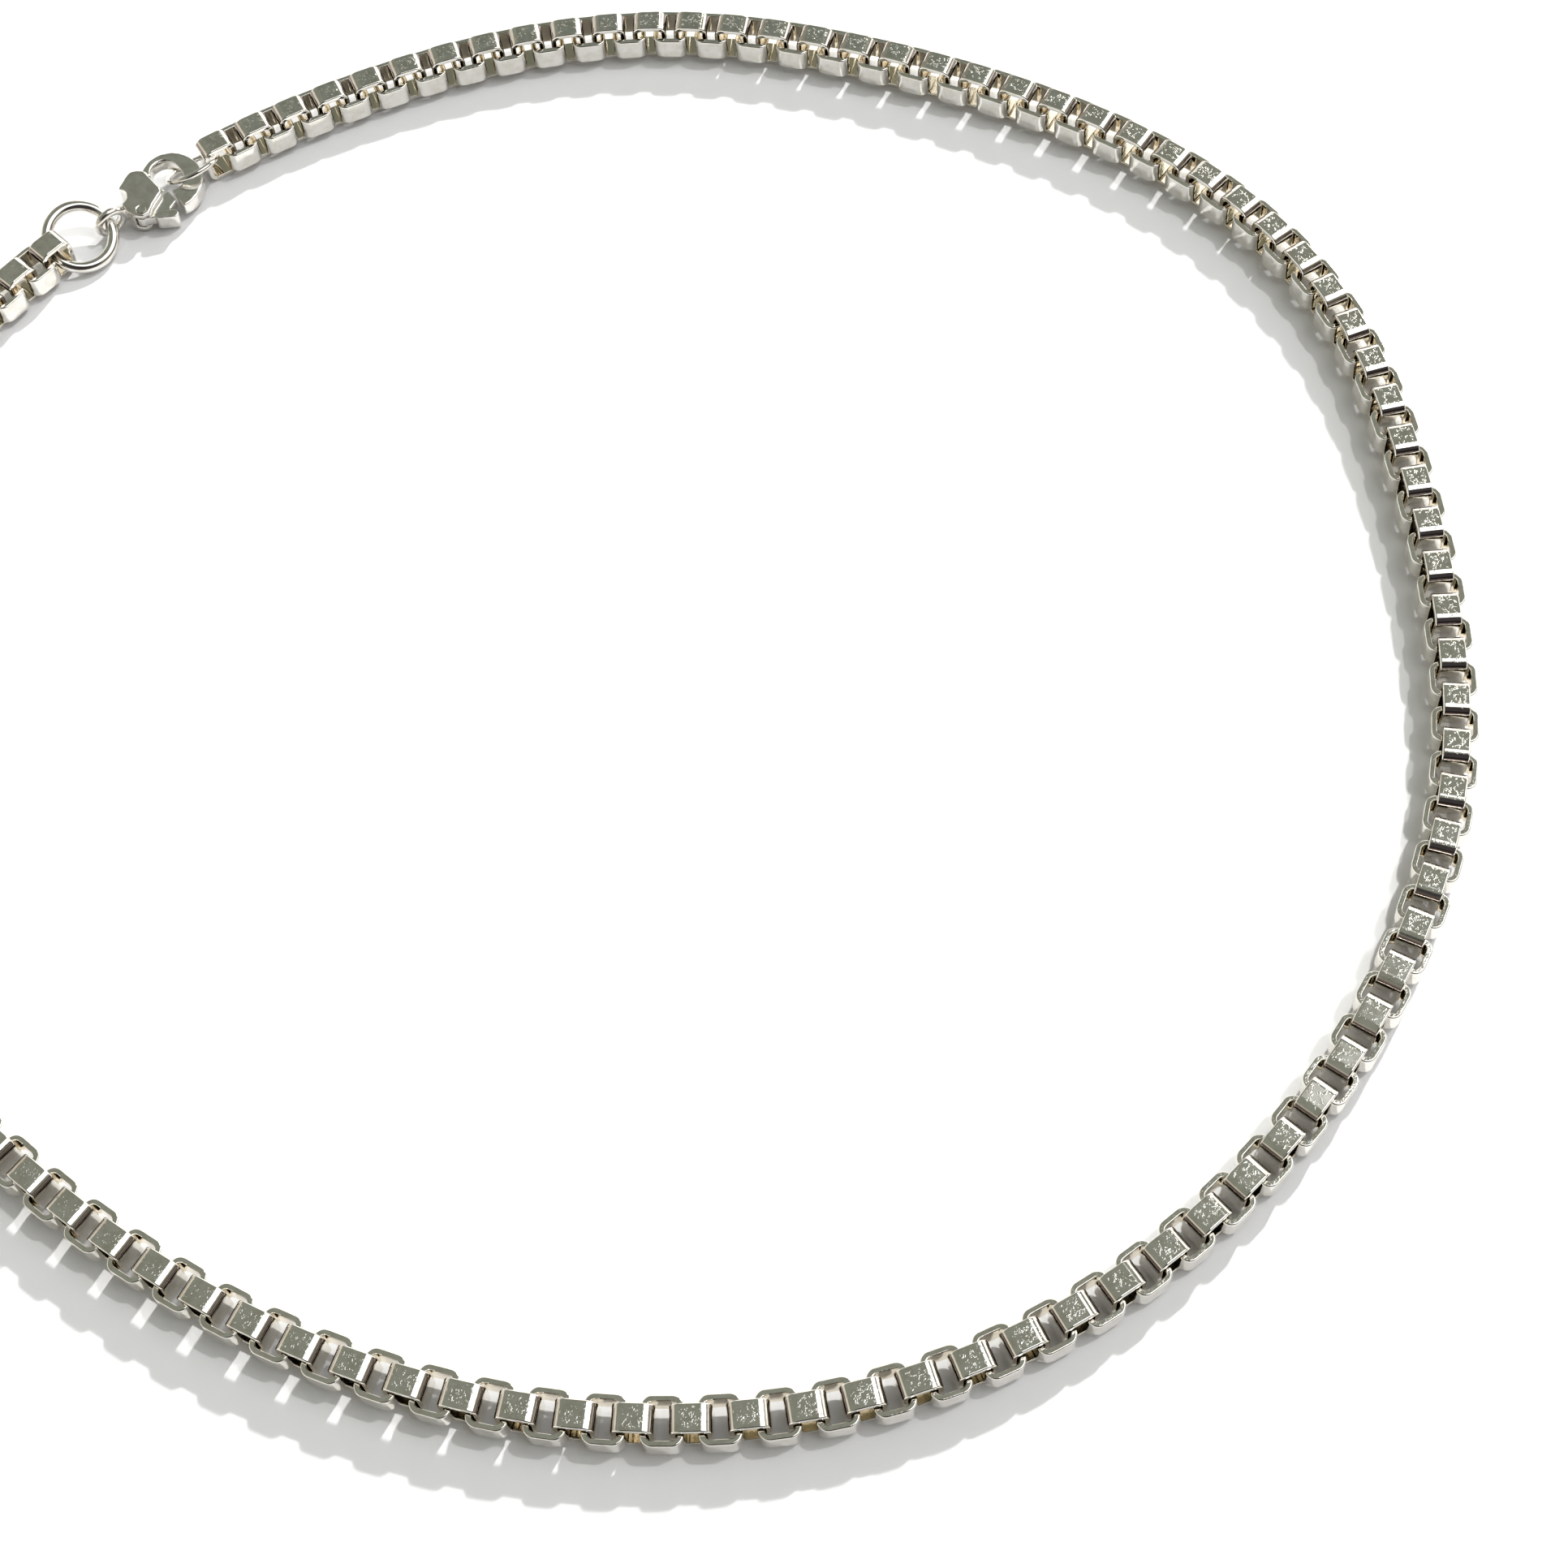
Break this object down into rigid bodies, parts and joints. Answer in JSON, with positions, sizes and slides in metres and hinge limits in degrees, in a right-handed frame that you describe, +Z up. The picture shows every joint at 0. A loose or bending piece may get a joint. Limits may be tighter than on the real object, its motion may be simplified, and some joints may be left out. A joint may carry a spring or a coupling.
{
  "type": "box chain necklace",
  "caption": "Closed necklace of interlocking square box links lying in a near-round ring, with a lobster clasp, a jump ring and a small end ring.",
  "frame": {"origin": "middle of the necklace's footprint, on the surface it lies on", "axes": "+Z up from the surface; +X to the right along the widest extent; the clasp lies at -X +Y"},
  "size_m": [0.1566, 0.1514, 0.0042],
  "materials": {
    "links": "polished sterling silver with fine rolling marks",
    "clasp": "polished cast silver",
    "lever": "polished cast silver",
    "rivet": "satin silver",
    "rings": "polished drawn silver wire"
  },
  "bodies": {
    "necklace": {"chain": "links", "clasp_body": "clasp", "trigger_pin": "rivet", "jump_ring": "rings", "end_ring": "rings"},
    "trigger": {"clasp_trigger": "lever"}
  },
  "joints": [
    {"name": "trigger_hinge", "type": "hinge", "parent": "necklace", "child": "trigger", "pos_m": [-0.04456, 0.05616, 0.00169], "axis": [0.0758, -0.1167, 0.9903], "range_deg": [0, 20], "stiffness_Nm_per_rad": 0.0005, "springref_deg": -5.73}
  ]
}
